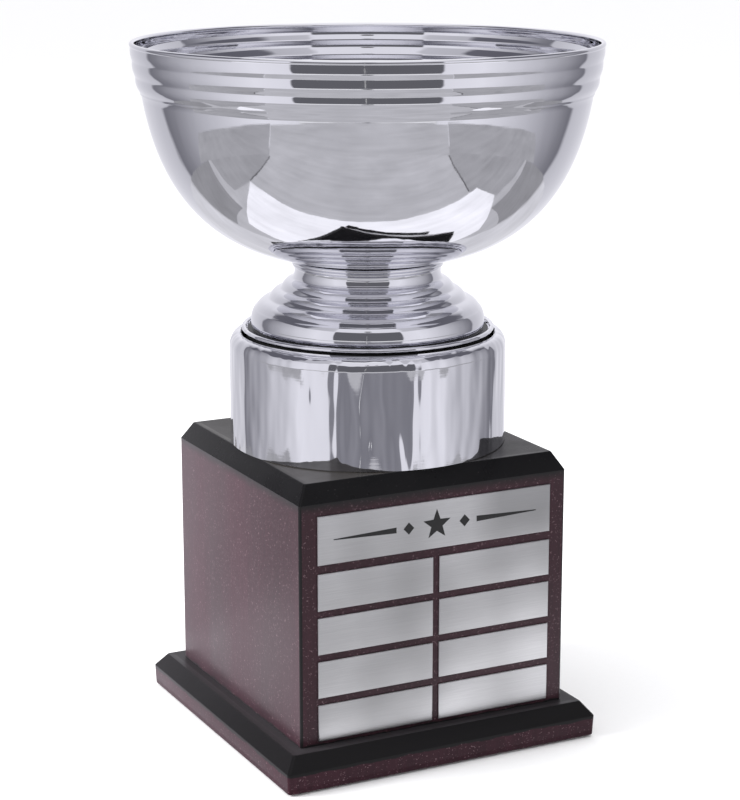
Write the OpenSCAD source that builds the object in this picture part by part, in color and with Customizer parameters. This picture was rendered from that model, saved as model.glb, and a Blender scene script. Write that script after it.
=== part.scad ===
/* [Base] */
// Width and depth of the block
block_w = 152.4; // [140:0.1:165]
// Height of the block above the plinth
block_h = 135.2; // [120:0.1:160]
// Thickness of the bevelled top board
top_board_h = 9; // [7:0.5:12]
// Inset of the top board's bevel
top_bevel_w = 5.6; // [4:0.1:8]
// Thickness of the mitred side panels
panel_t = 12; // [9:0.5:14]
// Chamfer on the block's upright corners
corner_chamfer = 1.4; // [0.5:0.1:3]
// Width and depth of the plinth
plinth_w = 177.8; // [168:0.1:190]
// Thickness of the plinth board
plinth_h = 18; // [14:0.5:22]
// Inset of the plinth's upper bevel
plinth_bevel_w = 5.3; // [3:0.1:7]
// Height of the plinth's upper bevel
plinth_bevel_h = 7.2; // [4:0.1:9]
// Thickness of the felt under the plinth
felt_t = 1; // [0.5:0.1:3]

/* [Collar] */
// Outer radius of the collar
collar_r = 72.5; // [68:0.1:74]
// Height of the collar
collar_h = 58; // [50:0.5:70]
// Width of the collar's rounded shoulder
shoulder_w = 5; // [4:0.1:8]
// Height of the collar's rounded shoulder
shoulder_h = 7; // [4:0.1:9]
// Thickness of the spun sheet
sheet_t = 1.1; // [0.8:0.1:1.5]

/* [Cup] */
// Radius of the bowl at its rim
rim_r = 121.1; // [110:0.1:130]
// Radius of the rolled bead at the rim
rim_bead_r = 1.3; // [1:0.1:2]
// Height of the bowl from its flat bottom to the rim
bowl_h = 114.1; // [105:0.1:125]
// Largest radius of the pedestal's foot
foot_r = 61.2; // [55:0.1:62]
// Radius of the pedestal's neck
neck_r = 38.2; // [34:0.1:42]

/* [Plates] */
// Width of the header plate
header_w = 133.4; // [120:0.1:140]
// Height of the header plate
header_h = 25.3; // [20:0.1:30]
// Height of a name plate
name_h = 19.3; // [15:0.1:20]
// Distance from one row of name plates to the next
row_pitch = 22.9; // [20:0.1:23.5]
// Gap between the two columns of name plates
column_gap = 3.4; // [2:0.1:6]
// Thickness of a plate
plate_t = 0.8; // [0.5:0.1:1.5]

/* [Fasteners] */
// Diameter of the tie rod
rod_d = 6; // [5:0.5:8]
// Diameter of a plinth screw's shank
screw_d = 4; // [3:0.5:5]

/* [Hidden] */
rows = 4;
plate_count = 2 * rows;
corner_names = ["fl", "fr", "bl", "br"];
corner_signs = [[-1, -1], [1, -1], [-1, 1], [1, 1]];
$fn = 96;

// Levels, from the floor up
plinth_top = felt_t + plinth_h;
block_top = plinth_top + block_h;
panel_top = block_top - top_board_h;
collar_top = block_top + collar_h;
plate_level = collar_top + 1.8;         // upper face of the collar plate's disc
foot_top = plate_level + 13.4;          // top of the foot's dome
neck_top = foot_top + 19.8;             // underside of the neck ring
ring_h = 1.8;
bowl_z = neck_top + ring_h;             // underside of the bowl's flat bottom

// Base
half = block_w / 2;
inner_half = half - panel_t;
plug_h = 6;
plug_gap = 0.1;
block_size = 22;
corner_block_h = 106;
screw_at = inner_half - block_size / 2;
screw_len = 35;
screw_head_r = 4.1;
screw_head_h = 2.3;
screw_tip_r = 0.4;
screw_tip_h = 4;
drive_r = 1.2;                          // recess in the screw's head
drive_h = 0.9;
screw_hole_r = screw_d / 2 + 0.25;
felt_inset = 3;
felt_corner = 6;
plinth_edge = 0.8;

// Clamping stack
rod_r = rod_d / 2;
rod_hole_r = rod_r + 0.3;
washer_t = 1.6;
gasket_t = 1.5;
washer_r = 11;
gasket_r = 12.5;
base_washer_r = 15;
lock_washer_r = 5.6;
lock_split = 1.2;
nut_r = 5.77;
nut_h = 5;
dome_h = 5.6;
dome_r = 4.7;
stack_z = bowl_z + sheet_t;
dome_nut_z = stack_z + gasket_t + washer_t;
rod_top = dome_nut_z + nut_h + 3;
base_washer_z = panel_top - plug_h - washer_t;
lock_washer_z = base_washer_z - washer_t;
base_nut_z = lock_washer_z - nut_h;
rod_bottom = base_nut_z - 6;

// Plates
adhesive_t = 0.2;
adhesive_inset = 2;
header_drop = 6.3;                      // from the top board's underside to the header
header_gap = 4.4;                       // from the header to the first row
header_top = panel_top - header_drop;
first_row_top = header_top - header_h - header_gap;
name_w = (header_w - column_gap) / 2;

// Points on an ellipse from angle a0 to angle a1
function arc(cx, cy, rx, ry, a0, a1, n) =
    [for (i = [0:n]) let (a = a0 + (a1 - a0) * i / n) [cx + rx * cos(a), cy + ry * sin(a)]];

// A point on a cubic curve between p0 and p3, and the way the curve runs there
function cubic(p0, p1, p2, p3, t) =
    pow(1 - t, 3) * p0 + 3 * t * pow(1 - t, 2) * p1 + 3 * t * t * (1 - t) * p2 + pow(t, 3) * p3;
function cubic_way(p0, p1, p2, p3, t) =
    pow(1 - t, 2) * (p1 - p0) + 2 * t * (1 - t) * (p2 - p1) + t * t * (p3 - p2);
// The unit vector to the left of v
function left_of(v) = [-v[1], v[0]] / norm(v);

// Bowl: heights are counted up from the underside of its flat bottom
bottom_r = 26;
body_top = [rim_r - 5.8, bowl_h - 27.2];
body_end = [neck_r, 2.05];
lean_top = 9.05;                        // how far the wall leans in under the bands, in degrees
lean_bottom = 9.5;                      // how steeply it leaves the neck, in degrees
pull_top = 44.8;                        // how far each end pulls the curve its own way
pull_bottom = 49.2;
body_p1 = body_top - pull_top * [sin(lean_top), cos(lean_top)];
body_p2 = body_end + pull_bottom * [cos(lean_bottom), sin(lean_bottom)];
bowl_steps = 26;
rim_z = bowl_h - rim_bead_r;
// The rim's three rolled bands: levels of their edges below the rim, the wall's inset from the
// rim at those levels, and how far each band swells between them
band_edges = [2.2, 9.3, 17.3, 25.2];
band_insets = [0.45, 1.25, 2.7, 4.95];
band_swells = [0.4, 0.55, 0.75];
swell_steps = 6;
band_points = concat(
    [for (i = [0:2], k = [0:swell_steps - 1])
        let (t = k / swell_steps, inset = band_insets[i] * (1 - t) + band_insets[i + 1] * t)
        [rim_r - inset + band_swells[i] * sin(180 * t),
            bowl_h - band_edges[i] * (1 - t) - band_edges[i + 1] * t]],
    [[rim_r - band_insets[3], bowl_h - band_edges[3]]]);
body_points = [for (i = [0:bowl_steps]) cubic(body_top, body_p1, body_p2, body_end, i / bowl_steps)];
body_inner = [for (i = [0:bowl_steps])
    let (t = i / bowl_steps)
    cubic(body_top, body_p1, body_p2, body_end, t)
        + sheet_t * left_of(-cubic_way(body_top, body_p1, body_p2, body_end, t))];

function reversed(list) = [for (i = [len(list) - 1:-1:0]) list[i]];
function moved(list, v) = [for (p = list) p + v];

// Pedestal: outline from the neck down over three swelling steps to the foot
neck_curve = 6.4;
neck_points = arc(neck_r + neck_curve, foot_top + 17.2, neck_curve, neck_curve, 156, 212, 9);
step_edges = [
    [neck_r + 1.3, foot_top + 13.6], [neck_r + 7.3, foot_top + 8.2],
    [neck_r + 13.5, foot_top + 3.2], [neck_r + 21.1, foot_top - 2.5]];
step_swell = 0.95;
step_points = [for (i = [0:2], k = [0:swell_steps - 1])
    let (t = k / swell_steps, run = step_edges[i + 1] - step_edges[i])
    step_edges[i] + t * run + step_swell * sin(180 * t) * left_of(run)];
foot_rx = 6;
foot_ry = 8.9;
foot_z = foot_top - foot_ry;
foot_points = arc(foot_r - foot_rx, foot_z, foot_rx, foot_ry, 46, 0, 9);
foot_roll = arc(foot_r - foot_rx, foot_z, foot_rx, foot_ry, -7, -26, 3);
foot_edge = [[foot_r - 0.9, plate_level], [foot_r - 2.1, plate_level], [foot_r - 1.6, foot_z - 2]];
pedestal_outline = concat([[neck_r + 0.6, neck_top]], neck_points, step_points, foot_points);

// Collar: its top edge turns down inside as a hem, round the beaded edge of the collar plate
hem_t = 1;
hem_h = 3.6;
hem_r = collar_r - shoulder_w - 0.6;
hem_round = 0.6;
edge_bead_r = 1.2;
edge_bead_at = hem_r - 0.8 - edge_bead_r;
core_gap = 0.8;

module spun(points) rotate_extrude() polygon(points);

module tube(r, hole_r, h) difference() {
    cylinder(r = r, h = h);
    translate([0, 0, -1]) cylinder(r = hole_r, h = h + 2);
}

module hex_nut(h) difference() {
    cylinder(r = nut_r, h = h, $fn = 6);
    translate([0, 0, -1]) cylinder(r = rod_r, h = h + 2);
}

// A square board with bevelled upper edges, cut from two crossed extrusions
module bevelled_board(w, h, bevel_w, bevel_h, edge = 0) {
    outline = [
        [-w / 2 + edge, 0], [w / 2 - edge, 0], [w / 2, edge], [w / 2, h - bevel_h],
        [w / 2 - bevel_w, h], [-w / 2 + bevel_w, h], [-w / 2, h - bevel_h], [-w / 2, edge]];
    intersection() {
        rotate([90, 0, 0]) linear_extrude(w + 2, center = true) polygon(outline);
        rotate([90, 0, 90]) linear_extrude(w + 2, center = true) polygon(outline);
    }
}

module chamfered_square(w, chamfer) intersection() {
    square(w, center = true);
    rotate(45) square(w * sqrt(2) - chamfer * sqrt(2), center = true);
}

module bowl() color([0.78, 0.78, 0.82]) translate([0, 0, bowl_z]) difference() {
    union() {
        spun(concat(
            [[0, 0], [bottom_r, 0]],
            reversed(body_points), reversed(band_points),
            [[rim_r - rim_bead_r - 0.3, rim_z], [rim_r - rim_bead_r - sheet_t, rim_z]],
            moved(band_points, [-sheet_t - 0.1, 0]), body_inner,
            [[bottom_r - 0.1, sheet_t], [0, sheet_t]]));
        translate([0, 0, rim_z]) rotate_extrude()
            translate([rim_r - rim_bead_r, 0]) circle(r = rim_bead_r, $fn = 32);
    }
    translate([0, 0, -1]) cylinder(r = rod_hole_r, h = 5);
}

module neck_ring() color([0.72, 0.72, 0.76]) translate([0, 0, neck_top]) spun(concat(
    [[rod_hole_r, 0], [neck_r + 0.3, 0]],
    arc(neck_r + 0.3, 0.9, 0.9, 0.85, -70, 80, 6),
    arc(neck_r + 0.9, 2.72, 1.2, 1.1, -60, 95, 6),
    [[bottom_r, ring_h], [rod_hole_r, ring_h]]));

module pedestal() color([0.8, 0.8, 0.84]) difference() {
    spun(concat(
        [[0, neck_top]], pedestal_outline, foot_roll,
        foot_edge, reversed(moved(foot_points, [-sheet_t, -sheet_t])),
        reversed(moved(step_points, [-sheet_t, -sheet_t])),
        reversed(moved(neck_points, [-sheet_t, -sheet_t])),
        [[0, neck_top - 2]]));
    translate([0, 0, neck_top - 5]) cylinder(r = rod_hole_r, h = 6);
}

module collar() color([0.76, 0.76, 0.8]) spun(concat(
    [[collar_r - sheet_t, block_top], [collar_r, block_top]],
    arc(collar_r - shoulder_w, collar_top - shoulder_h, shoulder_w, shoulder_h, 0, 90, 12),
    [[hem_r, collar_top - hem_round], [hem_r, collar_top - hem_h],
     [hem_r + hem_t, collar_top - hem_h], [hem_r + hem_t, collar_top - sheet_t]],
    arc(collar_r - shoulder_w, collar_top - shoulder_h, shoulder_w - sheet_t, shoulder_h - sheet_t,
        85, 0, 11)));

module collar_plate() color([0.7, 0.7, 0.74]) difference() {
    union() {
        translate([0, 0, plate_level - sheet_t]) cylinder(r = edge_bead_at - 0.1, h = sheet_t);
        translate([0, 0, plate_level + edge_bead_r - sheet_t / 2]) rotate_extrude()
            translate([edge_bead_at, 0]) circle(r = edge_bead_r, $fn = 32);
    }
    translate([0, 0, plate_level - 2]) cylinder(r = rod_hole_r, h = 4);
}

module riser_core() color([0.72, 0.58, 0.42]) difference() {
    union() {
        translate([0, 0, block_top])
            cylinder(r = collar_r - sheet_t - core_gap, h = collar_h - shoulder_h - 2);
        translate([0, 0, block_top])
            cylinder(r = edge_bead_at - edge_bead_r, h = plate_level - sheet_t - block_top);
    }
    translate([0, 0, block_top - 1]) cylinder(r = rod_hole_r, h = collar_h + 4);
}

module tie_rod() color([0.66, 0.66, 0.68]) translate([0, 0, rod_bottom])
    cylinder(r = rod_r, h = rod_top - rod_bottom);

module dome_nut() color([0.8, 0.8, 0.83]) translate([0, 0, dome_nut_z]) difference() {
    union() {
        cylinder(r = nut_r, h = nut_h, $fn = 6);
        spun(concat([[0, nut_h - 1], [dome_r, nut_h - 1]],
            arc(0, nut_h, dome_r, dome_h, 0, 90, 10)));
    }
    translate([0, 0, -1]) cylinder(r = rod_r, h = rod_top - dome_nut_z + 1);
}

module bowl_washer() color([0.75, 0.75, 0.77]) translate([0, 0, stack_z + gasket_t])
    tube(washer_r, rod_hole_r, washer_t);

module bowl_gasket() color([0.12, 0.12, 0.12]) translate([0, 0, stack_z])
    tube(gasket_r, rod_hole_r, gasket_t);

module base_washer() color([0.66, 0.66, 0.68]) translate([0, 0, base_washer_z])
    tube(base_washer_r, rod_hole_r, washer_t);

module lock_washer() color([0.6, 0.6, 0.62]) translate([0, 0, lock_washer_z]) difference() {
    tube(lock_washer_r, rod_hole_r, washer_t);
    rotate(20) translate([0, -lock_split / 2, -1]) cube([lock_washer_r + 2, lock_split, washer_t + 2]);
}

module base_nut() color([0.66, 0.66, 0.68]) translate([0, 0, base_nut_z]) hex_nut(nut_h);

module top_board() color([0.09, 0.08, 0.08]) difference() {
    union() {
        intersection() {
            translate([0, 0, panel_top])
                bevelled_board(block_w, top_board_h, top_bevel_w, top_board_h);
            translate([0, 0, panel_top]) linear_extrude(top_board_h)
                chamfered_square(block_w, corner_chamfer);
        }
        translate([0, 0, panel_top - plug_h / 2])
            cube([2 * (inner_half - plug_gap), 2 * (inner_half - plug_gap), plug_h], center = true);
    }
    translate([0, 0, panel_top - plug_h - 1]) cylinder(r = rod_hole_r, h = top_board_h + plug_h + 2);
}

// A panel with mitred ends, its outer face towards -Y before it is turned
module panel(turn) rotate(turn) translate([0, 0, plinth_top]) linear_extrude(panel_top - plinth_top)
    polygon([
        [-half + corner_chamfer, -half], [half - corner_chamfer, -half],
        [half - corner_chamfer / 2, -half + corner_chamfer / 2], [inner_half, -inner_half],
        [-inner_half, -inner_half], [-half + corner_chamfer / 2, -half + corner_chamfer / 2]]);

module front_panel() color([0.3, 0.12, 0.13]) panel(0);
module right_panel() color([0.32, 0.13, 0.14]) panel(90);
module back_panel() color([0.3, 0.12, 0.13]) panel(180);
module left_panel() color([0.32, 0.13, 0.14]) panel(270);

module corner_block(at) color([0.76, 0.62, 0.44])
    translate([at[0] * screw_at, at[1] * screw_at, plinth_top]) difference() {
        translate([-block_size / 2, -block_size / 2, 0]) cube([block_size, block_size, corner_block_h]);
        translate([0, 0, -1]) cylinder(r = screw_d / 2, h = screw_len - plinth_h + 2);
    }

module plinth_board() color([0.16, 0.08, 0.09]) translate([0, 0, felt_t]) difference() {
    intersection() {
        bevelled_board(plinth_w, plinth_h, plinth_bevel_w, plinth_bevel_h, plinth_edge);
        linear_extrude(plinth_h) chamfered_square(plinth_w, corner_chamfer);
    }
    for (s = corner_signs) translate([s[0] * screw_at, s[1] * screw_at, 0]) {
        translate([0, 0, -1]) cylinder(r = screw_hole_r, h = plinth_h + 2);
        cylinder(r1 = screw_head_r, r2 = screw_hole_r, h = screw_head_h);
    }
}

module plinth_screws() color([0.7, 0.7, 0.6]) for (s = corner_signs)
    translate([s[0] * screw_at, s[1] * screw_at, felt_t]) spun([
        [0, drive_h], [drive_r, drive_h], [drive_r, 0], [screw_head_r, 0], [screw_hole_r, screw_head_h],
        [screw_d / 2, screw_head_h], [screw_d / 2, screw_len - screw_tip_h],
        [screw_tip_r, screw_len], [0, screw_len]]);

module felt_pad() color([0.1, 0.16, 0.12]) linear_extrude(felt_t)
    chamfered_square(plinth_w - 2 * felt_inset, felt_corner);

module plate(w, h) cube([w, plate_t, h]);

function name_at(i) = [
    -header_w / 2 + (i % 2) * (name_w + column_gap),
    first_row_top - floor(i / 2) * row_pitch - name_h];

module header_plate() color([0.8, 0.8, 0.8])
    translate([-header_w / 2, -half - adhesive_t - plate_t, header_top - header_h])
        plate(header_w, header_h);

module name_plate(i) color([0.8, 0.8, 0.8])
    translate([name_at(i)[0], -half - adhesive_t - plate_t, name_at(i)[1]]) plate(name_w, name_h);

// One pad behind each plate, a little smaller than the plate
module pad(x, z, w, h) translate([x + adhesive_inset, -half - adhesive_t, z + adhesive_inset])
    cube([w - 2 * adhesive_inset, adhesive_t, h - 2 * adhesive_inset]);

module plate_adhesive() color([0.85, 0.85, 0.8]) {
    pad(-header_w / 2, header_top - header_h, header_w, header_h);
    for (i = [0:plate_count - 1]) pad(name_at(i)[0], name_at(i)[1], name_w, name_h);
}

bowl();
neck_ring();
pedestal();
collar();
collar_plate();
riser_core();
tie_rod();
dome_nut();
bowl_washer();
bowl_gasket();
base_washer();
lock_washer();
base_nut();
top_board();
front_panel();
back_panel();
left_panel();
right_panel();
for (i = [0:3])
    corner_block(corner_signs[i]);
plinth_board();
plinth_screws();
felt_pad();
header_plate();
plate_adhesive();
for (i = [0:plate_count - 1])
    name_plate(i);
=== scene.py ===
"""A perpetual bowl trophy: chromed cup and collar on a rosewood base with plates."""
import math

import bmesh
import bpy
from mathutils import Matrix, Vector


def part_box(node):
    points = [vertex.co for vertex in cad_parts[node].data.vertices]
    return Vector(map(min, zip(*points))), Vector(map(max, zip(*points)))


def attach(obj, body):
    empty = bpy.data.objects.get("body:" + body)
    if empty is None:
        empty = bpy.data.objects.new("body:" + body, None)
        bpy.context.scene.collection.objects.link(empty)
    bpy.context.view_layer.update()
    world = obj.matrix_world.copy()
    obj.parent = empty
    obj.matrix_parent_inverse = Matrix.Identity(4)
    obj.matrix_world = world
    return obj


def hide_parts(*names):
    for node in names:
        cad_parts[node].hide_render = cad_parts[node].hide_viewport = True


MM = 0.001
TURNS = 256                # steps round a turned piece
SHEET = 1.1                # thickness of the spun metal, in mm
NECK_R = 38.2              # radius of the pedestal's neck, in mm
ROD_HOLE_R = 3.3           # radius of the hole for the tie rod, in mm
WAVE_DEPTH = 1.6 * MM      # how deep a full wave in the chrome is
PANEL_T = 12               # thickness of the base's panels, in mm
CAMERA_TURN = math.radians(26.96)    # how far the camera stands to the left of the front
CAMERA_PITCH = math.radians(13.57)   # how far it looks down
TENT_R = 0.6               # radius of the light tent that the chrome mirrors
TENT_H = 1.3               # height of the tent's wall
# the tent wall's (angle, brightness) stops, with angles in degrees from the camera's side
WALL_BRIGHTNESS = [(0, 0.22), (12, 0.29), (20, 0.23), (31, 0.26), (32.5, 0.86), (50, 0.92), (70, 0.72),
                   (90, 0.50), (110, 0.26), (118, 0.20), (121, 0.60), (140, 0.72), (160, 0.88), (180, 1.0)]
# the same for the top of the wall, above UPPER_FROM
UPPER_BRIGHTNESS = [(0, 0.86), (32, 0.86), (36, 0.60), (60, 0.55), (66, 0.15), (90, 0.13), (116, 0.14),
                    (126, 0.55), (140, 0.80), (180, 0.95)]
UPPER_FROM = 0.55          # height where the top of the wall begins
CLOTH_TINT = (0.985, 0.98, 1.03, 1)
SLOT = math.radians(31.5)  # half width of the tent's front opening, seen from the trophy
SHELF = 0.099              # height at the wall of the shelf, which the bowl sees as more table
SHELF_SLOPE = 0.2475       # it slopes with the view, so that the collar sees the wall under it
SHELF_IN = 0.30            # radius of its inner edge, and of the gaps in the tent's floor
GAP_TOP = 0.145            # top of the bright strip above the shelf

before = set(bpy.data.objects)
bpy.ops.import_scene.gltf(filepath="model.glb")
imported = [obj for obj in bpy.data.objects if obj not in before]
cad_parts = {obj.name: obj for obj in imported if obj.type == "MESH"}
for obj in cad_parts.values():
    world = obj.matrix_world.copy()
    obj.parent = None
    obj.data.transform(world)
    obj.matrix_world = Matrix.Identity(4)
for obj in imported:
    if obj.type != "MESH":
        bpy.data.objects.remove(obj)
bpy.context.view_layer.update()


def box_mm(node):
    """The lowest and highest corner of a CAD node, in mm."""
    low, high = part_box(node)
    return low / MM, high / MM


# ---------------------------------------------------------------- outlines, in mm

def arc(cx, cy, rx, ry, start, end, steps):
    """Points on an ellipse between two angles in degrees."""
    angles = [math.radians(start + (end - start) * i / steps) for i in range(steps + 1)]
    return [(cx + rx * math.cos(a), cy + ry * math.sin(a)) for a in angles]


def filleted(corners, steps=6):
    """An open outline through (x, y, radius) corners, each rounded by its radius."""
    points = []
    for i, (x, y, radius) in enumerate(corners):
        here = Vector((x, y))
        if radius == 0 or i in (0, len(corners) - 1):
            points.append((x, y))
            continue
        before = (Vector(corners[i - 1][:2]) - here).normalized()
        after = (Vector(corners[i + 1][:2]) - here).normalized()
        half = before.angle(after) / 2
        centre = here + (before + after).normalized() * radius / math.sin(half)
        first = here + before * radius / math.tan(half) - centre
        last = here + after * radius / math.tan(half) - centre
        for k in range(steps + 1):
            points.append(tuple(centre + first.slerp(last, k / steps)))
    return points


def cubic(p0, p1, p2, p3, steps):
    """Points on a cubic curve between p0 and p3."""
    a, b, c, d = map(Vector, (p0, p1, p2, p3))
    ts = [i / steps for i in range(steps + 1)]
    return [tuple((1 - t) ** 3 * a + 3 * t * (1 - t) ** 2 * b + 3 * t * t * (1 - t) * c + t ** 3 * d)
            for t in ts]


def swelling(edges, swells, steps):
    """An open outline through edge points, swelling to its left between each pair of them."""
    crease = 0.12          # softens the dip at each edge point
    points = []
    for start, end, swell in zip(edges, edges[1:], swells):
        a, b = Vector(start), Vector(end)
        along = (b - a).normalized()
        for k in range(steps):
            t = k / steps
            lift = (math.hypot(math.sin(math.pi * t), crease) - crease) * swell
            points.append(tuple(a.lerp(b, t) + Vector((-along.y, along.x)) * lift))
    return points + [edges[-1]]


def set_in(points, thickness):
    """The same open outline moved to its right-hand side by a thickness."""
    moved = []
    for i, point in enumerate(points):
        before = Vector(points[max(i - 1, 0)])
        after = Vector(points[min(i + 1, len(points) - 1)])
        along = (after - before).normalized()
        moved.append((point[0] + along.y * thickness, point[1] - along.x * thickness))
    return moved


# ---------------------------------------------------------------- meshes

def finish_mesh(name, bm, material, smooth_below=35):
    """Makes an object of a bmesh, smooth except at edges sharper than an angle."""
    bmesh.ops.recalc_face_normals(bm, faces=bm.faces)
    mesh = bpy.data.meshes.new(name)
    bm.to_mesh(mesh)
    bm.free()
    for polygon in mesh.polygons:
        polygon.use_smooth = True
    mesh.set_sharp_from_angle(angle=math.radians(smooth_below))
    mesh.materials.append(material)
    piece = bpy.data.objects.new(name, mesh)
    bpy.context.scene.collection.objects.link(piece)
    return piece


def add_piece(piece, slot, *nodes):
    """Rides a piece on the trophy's one body, in place of its CAD nodes."""
    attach(piece, "root")
    if nodes:
        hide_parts(*nodes)
    return piece


def turned(name, outline, material, turns=TURNS, smooth_below=35):
    """A closed outline of (radius, height) points in mm, turned about the upright axis."""
    bm = bmesh.new()
    rings = []
    for k in range(turns):
        a = 2 * math.pi * k / turns
        rings.append([bm.verts.new((r * MM * math.cos(a), r * MM * math.sin(a), z * MM))
                      for r, z in outline])
    for k, ring in enumerate(rings):
        other = rings[(k + 1) % turns]
        for i in range(len(outline)):
            j = (i + 1) % len(outline)
            bm.faces.new((ring[i], other[i], other[j], ring[j]))
    return finish_mesh(name, bm, material, smooth_below)


def rounded_square(half, radius, steps=5):
    """Points round a square with rounded corners, in mm."""
    inner = half - radius
    points = []
    for turn, (sx, sy) in enumerate([(1, 1), (-1, 1), (-1, -1), (1, -1)]):
        points += arc(sx * inner, sy * inner, radius, radius, 90 * turn, 90 * turn + 90, steps)
    return points


def square_board(name, outline, corner, material, smooth_below=35):
    """A closed board with a square plan: its outline is (half width, height) points in mm."""
    bm = bmesh.new()
    rings = []
    for half, z in outline:
        rings.append([bm.verts.new((x * MM, y * MM, z * MM)) for x, y in rounded_square(half, corner)])
    count = len(rings[0])
    for low, high in zip(rings, rings[1:]):
        for i in range(count):
            j = (i + 1) % count
            bm.faces.new((low[i], low[j], high[j], high[i]))
    bm.faces.new(rings[0])
    bm.faces.new(rings[-1])
    return finish_mesh(name, bm, material, smooth_below)


def prism(name, outline, bottom, top, material, turn=0, smooth_below=35):
    """An upright prism over a closed outline in mm, turned about the upright axis."""
    c, s = math.cos(math.radians(turn)), math.sin(math.radians(turn))
    bm = bmesh.new()
    rings = [[bm.verts.new(((x * c - y * s) * MM, (x * s + y * c) * MM, z * MM)) for x, y in outline]
             for z in (bottom, top)]
    count = len(outline)
    for i in range(count):
        j = (i + 1) % count
        bm.faces.new((rings[0][i], rings[0][j], rings[1][j], rings[1][i]))
    bm.faces.new(rings[0])
    bm.faces.new(rings[1])
    return finish_mesh(name, bm, material, smooth_below)


# ---------------------------------------------------------------- materials

class Graph:
    """A short way to write a material's nodes."""

    def __init__(self, name, glowing=False):
        self.material = bpy.data.materials.new(name)
        self.material.use_nodes = True
        self.tree = self.material.node_tree
        self.shader = self.tree.nodes["Principled BSDF"]
        if glowing:
            self.tree.nodes.remove(self.shader)
            self.shader = self.tree.nodes.new("ShaderNodeEmission")
            output = self.tree.nodes["Material Output"]
            self.tree.links.new(self.shader.outputs[0], output.inputs[0])

    def set(self, **values):
        """Sets the shader's sockets: names use _ for a space."""
        for key, value in values.items():
            self.shader.inputs[key.replace("_", " ")].default_value = value

    def node(self, kind, inputs=None, **settings):
        made = self.tree.nodes.new(kind)
        for key, value in settings.items():
            setattr(made, key, value)
        for key, value in (inputs or {}).items():
            self.plug(made.inputs[key], value)
        return made

    def plug(self, socket, value):
        if isinstance(value, bpy.types.NodeSocket):
            self.tree.links.new(value, socket)
        else:
            socket.default_value = value

    def to_shader(self, socket, value):
        self.plug(self.shader.inputs[socket], value)

    def position(self):
        return self.node("ShaderNodeNewGeometry").outputs["Position"]

    def split(self, vector):
        return self.node("ShaderNodeSeparateXYZ", {0: vector}).outputs

    def math(self, operation, a, b=0.0):
        return self.node("ShaderNodeMath", {0: a, 1: b}, operation=operation).outputs[0]

    def stretched(self, vector, scale):
        return self.node("ShaderNodeVectorMath", {0: vector, 1: scale}, operation="MULTIPLY").outputs[0]

    def noise(self, vector, scale, detail=3.0, roughness=0.5):
        made = self.node("ShaderNodeTexNoise", {"Vector": vector, "Scale": scale, "Detail": detail,
                                                "Roughness": roughness})
        return made.outputs["Fac"]

    def ramp(self, value, low, high, to_low=0.0, to_high=1.0):
        made = self.node("ShaderNodeMapRange", {"Value": value, "From Min": low, "From Max": high,
                                                "To Min": to_low, "To Max": to_high})
        return made.outputs[0]

    def mix(self, factor, a, b):
        made = self.node("ShaderNodeMix", {0: factor, 6: a, 7: b}, data_type="RGBA")
        return made.outputs[2]

    def bump(self, height, strength, distance, normal=None):
        inputs = {"Height": height, "Strength": strength, "Distance": distance}
        if normal is not None:
            inputs["Normal"] = normal
        return self.node("ShaderNodeBump", inputs).outputs[0]

    def radius(self, position):
        x, y, _ = self.split(position)
        return self.math("SQRT", self.math("ADD", self.math("MULTIPLY", x, x),
                                           self.math("MULTIPLY", y, y)))


def chrome(name, waviness):
    """Polished chrome over spun metal: faint rings from the tool, slight waves and dull spots."""
    g = Graph(name)
    g.set(Metallic=1.0, Base_Color=(0.80, 0.80, 0.84, 1))
    place = g.position()
    height = g.split(place)[2]
    rings = g.node("ShaderNodeCombineXYZ", {0: g.radius(place), 1: height, 2: 0.0}).outputs[0]
    lines = g.noise(rings, 900.0, 4.0, 0.6)
    waves = g.noise(g.stretched(place, (1.0, 1.0, 0.22)), 52.0, 2.0, 0.45)
    dull = g.noise(place, 55.0, 5.0, 0.6)
    smear = g.ramp(dull, 0.45, 0.75, 0.02, 0.07)
    g.to_shader("Roughness", g.math("ADD", smear, g.math("MULTIPLY", lines, 0.02)))
    wavy = g.bump(waves, waviness, WAVE_DEPTH)
    g.to_shader("Normal", g.bump(lines, 0.08, 0.00006, wavy))
    return g.material


def black_lacquer(name):
    """Black lacquer on board, satin, with dust in it and a faint orange peel."""
    g = Graph(name)
    place = g.position()
    dust = g.noise(place, 900.0, 2.0, 0.7)
    patch = g.noise(place, 45.0, 4.0, 0.55)
    speck = g.ramp(dust, 0.68, 0.78)
    base = g.mix(patch, (0.004, 0.004, 0.0045, 1), (0.009, 0.0085, 0.0095, 1))
    g.to_shader("Base Color", g.mix(speck, base, (0.05, 0.045, 0.048, 1)))
    g.to_shader("Roughness", g.ramp(patch, 0.3, 0.7, 0.24, 0.36))
    g.set(Specular_IOR_Level=0.10, Sheen_Weight=0.25, Sheen_Roughness=0.25)
    g.set(Sheen_Tint=(1.0, 0.93, 0.88, 1))
    g.to_shader("Normal", g.bump(g.noise(place, 380.0, 2.0), 0.12, 0.0002))
    return g.material


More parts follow.
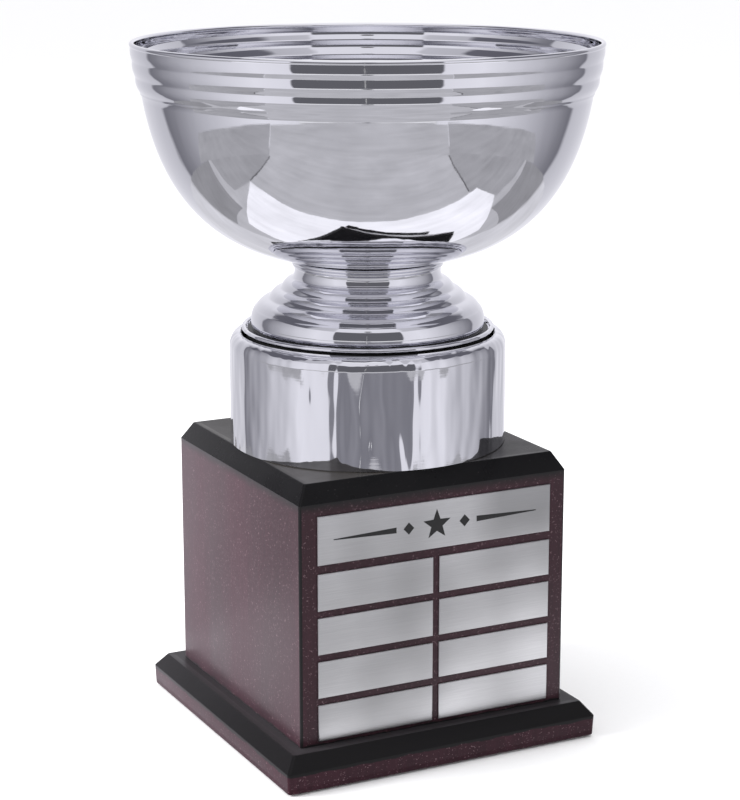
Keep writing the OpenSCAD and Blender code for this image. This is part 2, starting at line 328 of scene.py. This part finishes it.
def rosewood(name, top, black_from, sheen=0.6, half=None, foot=0.0):
    """Dark rosewood stain under satin lacquer, with a black spray over it towards the top edge.

    Painted shade: black also covers the upright corners, given half the block's width, and the lowest edge,
    where the panels meet the plinth.
    """
    g = Graph(name)
    place = g.position()
    x, y, z = g.split(place)
    grain = g.noise(g.stretched(place, (1.0, 1.0, 0.045)), 420.0, 5.0, 0.6)
    broad = g.noise(g.stretched(place, (1.0, 1.0, 0.12)), 34.0, 3.0, 0.5)
    stain = g.mix(g.ramp(broad, 0.3, 0.7), (0.022, 0.0054, 0.0098, 1), (0.036, 0.0088, 0.0160, 1))
    streaked = g.mix(g.ramp(grain, 0.35, 0.75, 0.0, 0.45), stain, (0.010, 0.003, 0.005, 1))
    specks = g.noise(place, 900.0, 2.0, 0.75)
    dusty = g.mix(g.ramp(specks, 0.62, 0.72), streaked, (0.16, 0.10, 0.115, 1))
    ragged = g.math("ADD", z, g.math("MULTIPLY", g.noise(place, 130.0, 4.0), 0.003))
    spray_and_shade = g.ramp(ragged, black_from * MM, top * MM)
    if half:
        # painted shade: black along the upright corners and along the lowest edge, over the joint with the
        # plinth
        across = g.math("MINIMUM", g.math("ABSOLUTE", x), g.math("ABSOLUTE", y))
        corner = g.ramp(across, (half - 1.5) * MM, (half - 1.1) * MM)
        joint_shade = g.ramp(ragged, (foot + 1.9) * MM, (foot + 2.6) * MM, 1.0, 0.0)
        spray_and_shade = g.math("MAXIMUM", spray_and_shade, g.math("MAXIMUM", corner, joint_shade))
    g.to_shader("Base Color", g.mix(spray_and_shade, dusty, (0.005, 0.0045, 0.005, 1)))
    g.to_shader("Roughness", g.ramp(broad, 0.3, 0.7, 0.34, 0.46))
    g.set(Specular_IOR_Level=sheen * 0.4, Coat_Weight=sheen * 0.35, Coat_Roughness=0.22)
    g.set(Sheen_Weight=sheen, Sheen_Roughness=0.32, Sheen_Tint=(0.95, 0.86, 0.95, 1))
    orange_peel = g.bump(g.noise(place, 330.0, 2.0), 0.10, 0.0002)
    g.to_shader("Normal", g.bump(specks, 0.05, 0.0001, orange_peel))
    return g.material


def brushed_plate(name):
    """Satin silver plate with fine brushing along its length, and broad lighter patches, partly uneven tone
    and partly painted sheen.
    """
    g = Graph(name)
    g.set(Metallic=1.0)
    place = g.position()
    hairs = g.noise(g.stretched(place, (0.012, 1.0, 1.0)), 5200.0, 3.0, 0.65)
    broad = g.noise(g.stretched(place, (0.5, 1.0, 1.0)), 26.0, 2.0)
    cloud = g.noise(g.stretched(place, (1.0, 1.0, 0.6)), 20.0, 1.0)
    # painted sheen: the broad lighter clouds are partly uneven tone, partly a painted soft highlight
    silver = g.mix(g.ramp(cloud, 0.35, 0.65), (0.47, 0.47, 0.47, 1), (0.72, 0.72, 0.72, 1))
    g.to_shader("Base Color", g.mix(g.ramp(hairs, 0.3, 0.7, 0.0, 0.25), silver, (0.30, 0.30, 0.30, 1)))
    g.to_shader("Roughness", g.ramp(broad, 0.3, 0.7, 0.30, 0.40))
    g.to_shader("Normal", g.bump(hairs, 0.12, 0.00004))
    return g.material


def plain_metal(name, colour, low, high):
    """A small turned or pressed metal part."""
    g = Graph(name)
    g.set(Metallic=1.0)
    place = g.position()
    marks = g.noise(place, 700.0, 4.0, 0.6)
    darker = tuple(c * 0.8 for c in colour) + (1,)
    g.to_shader("Base Color", g.mix(marks, darker, colour + (1,)))
    g.to_shader("Roughness", g.ramp(marks, 0.3, 0.7, low, high))
    g.to_shader("Normal", g.bump(marks, 0.1, 0.0001))
    return g.material


def raw_wood(name, light, dark, scale, stretch):
    """Unfinished board or softwood inside the base."""
    g = Graph(name)
    place = g.position()
    grain = g.noise(g.stretched(place, stretch), scale, 5.0, 0.65)
    g.to_shader("Base Color", g.mix(grain, dark, light))
    g.set(Roughness=0.8)
    g.to_shader("Normal", g.bump(grain, 0.25, 0.0003))
    return g.material


def core_with_painted_shade(name, black_from):
    """Fibreboard, black above a height in mm: painted shade for the gaps round the foot, which show it."""
    g = Graph(name)
    place = g.position()
    height = g.split(place)[2]
    fibres = g.noise(place, 900.0, 5.0, 0.65)
    board = g.mix(fibres, (0.38, 0.28, 0.18, 1), (0.50, 0.38, 0.26, 1))
    ragged = g.math("ADD", height, g.math("MULTIPLY", g.noise(place, 120.0, 3.0), 0.002))
    # painted shade: the core turns black above this height
    painted = g.ramp(ragged, (black_from - 1) * MM, black_from * MM)
    g.to_shader("Base Color", g.mix(painted, board, (0.008, 0.008, 0.008, 1)))
    g.set(Roughness=0.8)
    g.to_shader("Normal", g.bump(fibres, 0.25, 0.0003))
    return g.material


def felt(name):
    """Short dark green pile."""
    g = Graph(name)
    place = g.position()
    pile = g.noise(place, 2600.0, 4.0, 0.7)
    cloud = g.noise(place, 60.0, 3.0)
    shade = g.mix(cloud, (0.010, 0.020, 0.014, 1), (0.020, 0.036, 0.026, 1))
    g.to_shader("Base Color", g.mix(g.ramp(pile, 0.5, 0.8), shade, (0.05, 0.075, 0.06, 1)))
    g.set(Roughness=0.95, Sheen_Weight=0.4, Sheen_Roughness=0.5)
    g.to_shader("Normal", g.bump(pile, 0.6, 0.0005))
    return g.material


def rubber(name):
    """Matte black rubber with a fine moulded texture."""
    g = Graph(name)
    place = g.position()
    skin = g.noise(place, 1500.0, 3.0)
    g.to_shader("Base Color", g.mix(skin, (0.02, 0.02, 0.02, 1), (0.035, 0.035, 0.035, 1)))
    g.set(Roughness=0.75)
    g.to_shader("Normal", g.bump(skin, 0.2, 0.0002))
    return g.material


def adhesive_film(name):
    """Pale foam tape behind the plates."""
    g = Graph(name)
    foam = g.noise(g.position(), 2200.0, 3.0)
    g.to_shader("Base Color", g.mix(foam, (0.55, 0.53, 0.46, 1), (0.68, 0.66, 0.58, 1)))
    g.set(Roughness=0.7)
    return g.material


def black_fill(name):
    """Black enamel in the header's engraving; also the painted shade on the collar plate."""
    g = Graph(name)
    grit = g.noise(g.position(), 1800.0, 3.0)
    g.to_shader("Base Color", g.mix(grit, (0.004, 0.004, 0.004, 1), (0.012, 0.012, 0.012, 1)))
    g.set(Roughness=0.45)
    g.to_shader("Normal", g.bump(grit, 0.1, 0.0001))
    return g.material


# ---------------------------------------------------------------- the cup

def bowl_outline():
    """The spun bowl: three swelling bands under a rolled rim, then one curve to a flat bottom."""
    low, high = box_mm("bowl")
    rim, top, bottom = high.x, high.z, low.z
    bead = 1.3
    below_rim = [2.2, 9.3, 17.3, 25.2]
    inset = [0.45, 1.25, 2.7, 4.95]
    edges = [(rim - i, top - depth) for i, depth in zip(inset, below_rim)]
    outside = swelling(edges, (0.45, 0.62, 0.82), 26)[:-1]
    body_top = (rim - 5.8, top - 27.2)
    outside += filleted([edges[-1] + (0,), (rim - 5.25, top - 25.9, 1.2), body_top + (0,)], 5)[:-1]
    lean_top, lean_bottom = math.radians(9.05), math.radians(9.5)
    end = (NECK_R, bottom + 2.05)
    p1 = (body_top[0] - 44.8 * math.sin(lean_top), body_top[1] - 44.8 * math.cos(lean_top))
    p2 = (end[0] + 49.2 * math.cos(lean_bottom), end[1] + 49.2 * math.sin(lean_bottom))
    outside += cubic(body_top, p1, p2, end, 72)
    outside += filleted([(36, bottom + 1.68, 0), (26, bottom, 20), (ROD_HOLE_R, bottom, 0)], 8)
    inside = set_in(outside, SHEET)
    lip = arc(rim - bead, top - bead, bead, bead, -50, 222, 20)
    return outside[::-1] + lip + inside


def neck_ring_outline():
    """A turned ring with two beads, between the bowl and the pedestal."""
    low, high = box_mm("neck_ring")
    edge = high.x
    return ([(ROD_HOLE_R, low.z), (edge - 1.8, low.z)]
            + arc(edge - 1.75, low.z + 0.85, 0.9, 0.82, -80, 60, 10)
            + arc(edge - 1.15, low.z + 2.62, 1.15, 1.0, -70, 95, 14)
            + [(26, low.z + 1.8), (ROD_HOLE_R, low.z + 1.8)])


def pedestal_outline():
    """The spun pedestal: a narrow neck, three swelling steps and a foot that rolls under."""
    low, high = box_mm("pedestal")
    top, bottom, foot = high.z, low.z, high.x
    crest = bottom + 13.4
    curve = 6.4
    outside = [(NECK_R + 0.7, top)] + arc(NECK_R + curve, crest + 17.2, curve, curve, 158, 211, 16)
    edges = [(NECK_R + 1.3, crest + 13.6), (NECK_R + 7.3, crest + 8.2),
             (NECK_R + 13.5, crest + 3.2), (NECK_R + 21.1, crest - 2.5)]
    outside += swelling(edges, (1.0, 1.0, 1.0), 20)[:-1]
    outside += arc(foot - 6, crest - 8.9, 6, 8.9, 46, -28, 26)
    inside = set_in(outside, SHEET)
    return outside[::-1] + inside + [(foot - 1.8, bottom), (foot - 0.95, bottom)]


def collar_outline():
    """The spun collar: a straight wall, a rounded shoulder and an edge turned down inside."""
    low, high = box_mm("collar")
    edge, bottom, top = high.x, low.z, high.z
    shoulder_w, shoulder_h = 5.0, 7.0
    hem = edge - shoulder_w - 0.6
    outside = ([(edge, bottom + 0.4), (edge, bottom + 20)]
               + arc(edge - shoulder_w, top - shoulder_h, shoulder_w, shoulder_h, 0, 90, 28)
               + filleted([(hem + 0.5, top, 0), (hem, top, 0.45), (hem, top - 3.6, 0)], 6))
    inside = set_in(outside, -SHEET)
    return outside + inside[::-1]


def collar_plate_outline():
    """The disc on top of the collar's core, with its beaded edge."""
    low, high = box_mm("collar_plate")
    bead = 1.2
    level = high.z - 1.85
    return ([(ROD_HOLE_R, low.z), (high.x - bead - 0.4, low.z)]
            + arc(high.x - bead, high.z - bead, bead, bead, -80, 215, 26)
            + [(high.x - 2 * bead - 0.6, level), (ROD_HOLE_R, level)])


def paint_shade_inside(piece, radius, material):
    """Paints a turned piece black inside a radius in mm, as painted shade."""
    piece.data.materials.append(material)
    for polygon in piece.data.polygons:
        if math.hypot(polygon.center.x, polygon.center.y) < radius * MM:
            polygon.material_index = 1


def build_cup():
    metal = chrome("chrome_bowl", 0.10)
    foot_metal = chrome("chrome_pedestal", 0.2)
    collar_metal = chrome("chrome_collar", 2.0)
    add_piece(turned("bowl_spun", bowl_outline(), metal), "chrome", "bowl")
    add_piece(turned("neck_ring_turned", neck_ring_outline(), foot_metal), "chrome", "neck_ring")
    add_piece(turned("pedestal_spun", pedestal_outline(), foot_metal), "chrome", "pedestal")
    add_piece(turned("collar_spun", collar_outline(), collar_metal), "chrome", "collar")
    pressed = turned("collar_plate_pressed", collar_plate_outline(), collar_metal)
    # painted shade: the disc is black inside its bead, so the foot above mirrors a dark groove
    paint_shade_inside(pressed, box_mm("collar_plate")[1].x - 2.6, black_fill("groove_painted_shade"))
    add_piece(pressed, "chrome", "collar_plate")


# ---------------------------------------------------------------- the base

def build_top_board():
    """The black board: a plug inside the panels, a level underside and a wide bevel."""
    low, high = box_mm("top_board")
    lacquer = black_lacquer("black_lacquer")
    half, top, seam = high.x, high.z, box_mm("front_panel")[1].z
    plug = half - PANEL_T - 0.1
    bevel_w, lip_w, gap = 5.6, 1.0, 0.02
    outline = ([(plug, low.z), (plug, seam - gap), (half - lip_w, seam - gap)]
               + filleted([(half, seam, 0), (half - bevel_w, top, 0.7),
                           (half - bevel_w - 3, top, 0)], 5))
    board = square_board("top_board_lacquered", outline, 1.2, lacquer)
    add_piece(board, "black_lacquer", "top_board")


def build_panels():
    """Four mitred panels as wide as the top board, from one outline turned a quarter each time."""
    low, high = box_mm("front_panel")
    half, seam = box_mm("top_board")[1].x, high.z
    wood = rosewood("rosewood_panels", seam + 1.2, seam - 3.4, half=half, foot=low.z)
    inner = half - PANEL_T
    corner = 1.5
    c = half - corner
    outline = (arc(-c, -c, corner, corner, 225, 270, 5) + arc(c, -c, corner, corner, 270, 315, 5)
               + [(inner, -inner), (-inner, -inner)])
    for node, turn in [("front", 0), ("right", 90), ("back", 180), ("left", 270)]:
        panel = prism(f"{node}_panel_veneered", outline, low.z, seam, wood, turn)
        add_piece(panel, "rosewood", f"{node}_panel")


def build_plinth():
    """The plinth board, with a bevel round its upper edge."""
    low, high = box_mm("plinth_board")
    half, top = high.x, high.z
    bevel_w, bevel_h = 5.3, 7.2
    edge_wood = rosewood("rosewood_plinth", top - bevel_h + 0.4, top - bevel_h - 0.2, 0.28)
    outline = filleted([(half - 3, low.z, 0), (half, low.z, 0.9), (half, top - bevel_h, 0.5),
                        (half - bevel_w, top, 0.7), (half - bevel_w - 3, top, 0)], 5)
    board = square_board("plinth_lacquered", outline, 1.6, edge_wood)
    add_piece(board, "plinth_lacquer", "plinth_board")


def build_base():
    build_top_board()
    build_panels()
    build_plinth()


def plate(name, low, high, material):
    """A thin plate with softly rounded front edges."""
    x0, z0, x1, z1 = low.x, low.z, high.x, high.z
    back, front = high.y, low.y
    edge = 0.55
    bm = bmesh.new()
    rings = []
    depth = back - front
    profile = [(0, back)] + [(edge * (1 - math.cos(a)), front + depth * 0.75 * (1 - math.sin(a)))
                             for a in [math.radians(18 * k) for k in range(6)]]
    for inset, y in profile:
        rings.append([bm.verts.new((x * MM, y * MM, z * MM)) for x, z in
                      [(x0 + inset, z0 + inset), (x1 - inset, z0 + inset),
                       (x1 - inset, z1 - inset), (x0 + inset, z1 - inset)]])
    for a, b in zip(rings, rings[1:]):
        for i in range(4):
            j = (i + 1) % 4
            bm.faces.new((a[i], a[j], b[j], b[i]))
    bm.faces.new(rings[0])
    bm.faces.new(rings[-1])
    return finish_mesh(name, bm, material, 40)


def star(cx, cz, outer, inner, points=5):
    """The outline of a star in mm, point up."""
    corners = []
    for k in range(points * 2):
        a = math.pi / 2 + math.pi * k / points
        r = outer if k % 2 == 0 else inner
        corners.append((cx + r * math.cos(a), cz + r * math.sin(a)))
    return corners


def header_ornament(low, high, material):
    """A plain ornament for the header: a star, lozenges and two tapered rules, in black."""
    cx, cz = (low.x + high.x) / 2, (low.z + high.z) / 2
    lozenge = [(13, 0), (16, 3.2), (19, 0), (16, -3.2)]
    rule = [(23, 1.5), (58, 0.25), (58, -0.25), (23, -1.5)]
    relief = 0.05          # how far it stands out of the plate, and goes into it
    shapes = [star(cx, cz, 8.2, 3.4)]
    for side in (-1, 1):
        for half_shape in (lozenge, rule):
            shapes.append([(cx + side * x, cz + z) for x, z in half_shape])
    bm = bmesh.new()
    for shape in shapes:
        front = [bm.verts.new((x * MM, (low.y - relief) * MM, z * MM)) for x, z in shape]
        back = [bm.verts.new((x * MM, (low.y + relief) * MM, z * MM)) for x, z in shape]
        bm.faces.new(front)
        bm.faces.new(back)
        for i in range(len(shape)):
            j = (i + 1) % len(shape)
            bm.faces.new((front[i], front[j], back[j], back[i]))
    return finish_mesh("header_ornament", bm, material)


def build_plates():
    silver = brushed_plate("brushed_silver")
    for node in ["header_plate"] + [f"name_plate_{i}" for i in range(1, 9)]:
        add_piece(plate(f"{node}_brushed", *box_mm(node), silver), "plate_silver", node)
    add_piece(header_ornament(*box_mm("header_plate"), black_fill("engraving_fill")), "black_lacquer")


def dress_hidden_parts():
    """Gives the parts that stay as CAD solids their own materials."""
    bright = plain_metal("bright_zinc", (0.62, 0.62, 0.64), 0.25, 0.4)
    looks = {
        "dome_nut": chrome("chrome_nut", 0.1),
        "bowl_washer": plain_metal("steel", (0.7, 0.7, 0.72), 0.15, 0.25),
        "bowl_gasket": rubber("gasket_rubber"), "felt_pad": felt("felt"),
        "plate_adhesive": adhesive_film("foam_tape"),
        # painted shade: the riser core is black at its top, where the gaps round the foot show it
        "riser_core": core_with_painted_shade("fibreboard", box_mm("riser_core")[1].z - 12),
    }
    for name in ["tie_rod", "base_washer", "lock_washer", "base_nut", "plinth_screws"]:
        looks[name] = bright
    pine = raw_wood("pine", (0.70, 0.52, 0.31, 1), (0.46, 0.29, 0.14, 1), 160, (1, 1, 0.06))
    for name in ["fl", "fr", "bl", "br"]:
        looks["corner_block_" + name] = pine
    for name, material in looks.items():
        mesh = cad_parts[name].data
        mesh.materials.clear()
        mesh.materials.append(material)


# ---------------------------------------------------------------- camera, floor and light

def aim(thing, target):
    thing.rotation_euler = (Vector(target) - thing.location).to_track_quat("-Z", "Y").to_euler()


def add_camera():
    """The camera stands to the left of the front and looks slightly down."""
    data = bpy.data.cameras.new("camera")
    camera = bpy.data.objects.new("camera", data)
    bpy.context.scene.collection.objects.link(camera)
    bpy.context.scene.camera = camera
    data.lens = 101.25
    camera.location = (-0.5237, -1.0323, 0.4536)
    level = math.cos(CAMERA_PITCH)
    way = Vector((math.sin(CAMERA_TURN) * level, math.cos(CAMERA_TURN) * level, -math.sin(CAMERA_PITCH)))
    camera.rotation_euler = way.to_track_quat("-Z", "Y").to_euler()


def glow(name, colour, strength):
    """A material that only gives off light."""
    g = Graph(name, glowing=True)
    g.set(Color=colour, Strength=strength)
    return g.material


def stage_mesh(name, vertices, faces, material):
    """A mesh of the studio, which isn't part of the trophy."""
    mesh = bpy.data.meshes.new(name)
    mesh.from_pydata(vertices, [], faces)
    mesh.materials.append(material)
    made = bpy.data.objects.new(name, mesh)
    bpy.context.scene.collection.objects.link(made)
    return made


def only_in_reflections(card):
    """Leaves a card of the light tent out of all but the mirror images, and turns it to its place."""
    card.visible_camera = False
    card.visible_diffuse = False
    card.visible_shadow = False
    card.rotation_euler.z = -CAMERA_TURN


def brightness_ramp(g, turn, stops):
    """The brightness at angles in degrees, read off a list of (angle, brightness) stops."""
    ramp = g.node("ShaderNodeValToRGB", {0: turn})
    elements = ramp.color_ramp.elements
    elements.remove(elements[1])
    for degrees, bright in stops:
        element = elements[0] if degrees == 0 else elements.new(degrees / 180)
        element.position = degrees / 180
        element.color = (bright * 0.985, bright * 0.98, bright * 1.02 + 0.02, 1)
    return ramp.outputs[0]


def tent_wall():
    """The tent's round wall. Its brightness goes by height and by the angle from the camera's side."""
    steps = 144
    vertices = []
    for z in (0.0, TENT_H):
        for k in range(steps):
            a = 2 * math.pi * k / steps
            vertices.append((TENT_R * math.cos(a), TENT_R * math.sin(a), z))
    faces = [(k, (k + 1) % steps, steps + (k + 1) % steps, steps + k) for k in range(steps)]
    g = Graph("tent_cloth", glowing=True)
    place = g.node("ShaderNodeTexCoord").outputs["Object"]
    x, y, z = g.split(place)
    angle = g.math("ABSOLUTE", g.math("ARCTAN2", x, g.math("MULTIPLY", y, -1.0)))
    folds = g.noise(g.stretched(place, (3.0, 3.0, 2.2)), 2.2, 2.0, 0.5)
    wavy = g.math("ADD", angle, g.math("MULTIPLY", g.math("SUBTRACT", folds, 0.5), 0.10))
    turn = g.ramp(wavy, 0.0, math.pi)
    lower = brightness_ramp(g, turn, WALL_BRIGHTNESS)
    upper = brightness_ramp(g, turn, UPPER_BRIGHTNESS)
    cloth = g.mix(g.ramp(z, UPPER_FROM - 0.01, UPPER_FROM + 0.02), lower, upper)
    in_slot = g.ramp(angle, SLOT, SLOT + 0.02, 1.0, 0.0)
    dark = g.math("MULTIPLY", in_slot, g.math("MULTIPLY", g.ramp(z, GAP_TOP, GAP_TOP + 0.01),
                                              g.ramp(z, UPPER_FROM - 0.01, UPPER_FROM, 1.0, 0.0)))
    cloth = g.mix(dark, cloth, (0.135, 0.135, 0.15, 1))
    in_gap = g.math("MULTIPLY", in_slot, g.math("MULTIPLY", g.ramp(z, SHELF, SHELF + 0.002),
                                                g.ramp(z, GAP_TOP - 0.004, GAP_TOP, 1.0, 0.0)))
    cloth = g.mix(in_gap, cloth, (0.90, 0.90, 0.92, 1))
    g.to_shader("Color", cloth)
    g.set(Strength=1.0)
    only_in_reflections(stage_mesh("tent_wall", vertices, faces, g.material))


def wall_card(name, angle, height, half_width, half_height, brightness, steps=24):
    """A round or upright oval card hung just inside the tent wall, at an angle in degrees."""
    a = math.radians(angle)
    radius = TENT_R - 0.01
    centre = Vector((radius * math.sin(a), -radius * math.cos(a), height))
    across = Vector((math.cos(a), math.sin(a), 0))
    corners = [tuple(centre + across * half_width * x + Vector((0, 0, half_height * z)))
               for x, z in arc(0, 0, 1, 1, 0, 360, steps)[:-1]]
    only_in_reflections(stage_mesh(name, corners, [tuple(range(steps))],
                                   glow(name, (1, 1, 1, 1), brightness)))


def streaky_glow(name, brightness):
    """A card's light with soft streaks across it."""
    g = Graph(name, glowing=True)
    place = g.node("ShaderNodeTexCoord").outputs["Object"]
    streaks = g.noise(g.stretched(place, (5.0, 40.0, 1.0)), 1.0, 4.0, 0.6)
    clouds = g.noise(place, 7.0, 3.0, 0.5)
    shade = g.math("ADD", g.ramp(streaks, 0.3, 0.7, 0.90, 1.04), g.ramp(clouds, 0.3, 0.7, -0.10, 0.06))
    g.to_shader("Strength", g.math("MULTIPLY", shade, brightness))
    g.set(Color=CLOTH_TINT)
    return g.material


def flat_card(name, corners, height, brightness):
    """A level card of the tent, its corners in the camera's frame: x right, y away."""
    card = stage_mesh(name, [(x, y, height) for x, y in corners], [tuple(range(len(corners)))],
                      streaky_glow(name, brightness))
    only_in_reflections(card)


def shelf_card(name, start, end, lift, brightness, steps=16):
    """Part of the sloping shelf round the tent, between angles from the camera's side."""
    vertices = []
    for radius in (SHELF_IN, TENT_R - 0.001):
        height = SHELF + lift + (TENT_R - radius) * SHELF_SLOPE
        vertices += [(x, y, height) for x, y in arc(0, 0, radius, radius, start - 90, end - 90, steps)]
    row = steps + 1
    faces = [(k, k + 1, row + k + 1, row + k) for k in range(steps)]
    only_in_reflections(stage_mesh(name, vertices, faces, streaky_glow(name, brightness)))


def sector(start, end, inner, outer, steps=8):
    """The outline of part of a ring on the floor, between angles from the camera's side."""
    return (arc(0, 0, inner, inner, start - 90, end - 90, steps)
            + arc(0, 0, outer, outer, end - 90, start - 90, steps))


def tent_floor():
    """What the cup sees below it: a grey table, a white sheet under the trophy and dark gaps."""
    level, layer_gap = 0.0012, 0.0004
    layers = [("table", sector(-180, 180, 0.02, TENT_R, 72), 0.60),
              ("back", sector(124, 236, 0.02, TENT_R, 24), 0.78)]
    for name, side in [("gap_left", -1), ("gap_right", 1)]:
        layers.append((name, sector(94 * side, 122 * side, SHELF_IN, TENT_R), 0.36))
    left_side = arc(0, 0, TENT_R, TENT_R, -137, -182, 8) + [(-0.38, -0.02), (-0.375, -0.14)]
    right_side = arc(0, 0, TENT_R, TENT_R, -52, 2, 8) + [(0.35, -0.02), (0.295, -0.155)]
    layers += [("side_left", left_side, 0.44), ("side_right", right_side, 0.44),
               ("sheet", [(-0.375, -0.14), (0.33, -0.14), (0.35, -0.03), (0.21, 0.10), (-0.24, 0.085)], 1.15),
               ("fold_left", [(-0.372, -0.14), (-0.437, -0.41), (-0.442, -0.41), (-0.378, -0.14)], 0.14),
               ("fold_right", [(0.295, -0.15), (0.300, -0.15), (0.370, -0.465), (0.362, -0.465)], 0.14)]
    for name, outline, brightness in layers:
        level += layer_gap
        flat_card("tent_" + name, outline, level, brightness)
    side_lift = 0.006
    shelf_card("tent_shelf", -47, 38, 0.0, 0.58)
    shelf_card("tent_shelf_left", -92, -47, side_lift, 0.46)
    shelf_card("tent_shelf_right", 38, 92, side_lift, 0.46)


def soft_light(name, place, target, width, power):
    """A square area light, which the chrome doesn't mirror."""
    data = bpy.data.lights.new(name, "AREA")
    data.size = width
    data.energy = power
    lamp = bpy.data.objects.new(name, data)
    bpy.context.scene.collection.objects.link(lamp)
    lamp.location = place
    lamp.visible_glossy = False
    aim(lamp, target)


def build_studio():
    """A pale floor, even light from all round, two soft lamps and the tent that the chrome mirrors."""
    scene = bpy.context.scene
    scene.view_settings.view_transform = "Standard"
    world = bpy.data.worlds.new("studio")
    scene.world = world
    world.use_nodes = True
    background = world.node_tree.nodes["Background"]
    background.inputs[0].default_value = (0.99, 0.99, 1.0, 1)
    background.inputs[1].default_value = 1.05
    half = 12.0            # half the floor's width
    paper = Graph("pale_floor")
    fibre = paper.noise(paper.position(), 300.0, 3.0)
    paper.to_shader("Base Color", paper.mix(fibre, (0.93, 0.93, 0.935, 1), (0.96, 0.96, 0.965, 1)))
    paper.set(Roughness=0.9, Specular_IOR_Level=0.2)
    stage_mesh("floor", [(-half, -half, 0), (half, -half, 0), (half, half, 0), (-half, half, 0)],
               [(0, 1, 2, 3)], paper.material)
    tent_wall()
    tent_floor()
    wall_card("tent_lens", 0, 0.118, 0.030, 0.013, 0.01)
    wall_card("tent_upper_lens", 0, 0.62, 0.045, 0.035, 0.02)
    wall_card("tent_chink", -1, 0.078, 0.0035, 0.020, 1.1)
    wall_card("tent_low_chink", -1, 0.028, 0.0035, 0.006, 1.0)
    wall_card("tent_upper_chink", -1, 0.27, 0.002, 0.10, 0.5)
    middle = (0, 0, 0.15)
    soft_light("key_left", (-1.5, 0.35, 0.75), middle, 0.9, 40)
    soft_light("top", (0.2, 0.3, 1.9), middle, 1.4, 10)


add_camera()
build_cup()
build_base()
build_plates()
dress_hidden_parts()
build_studio()
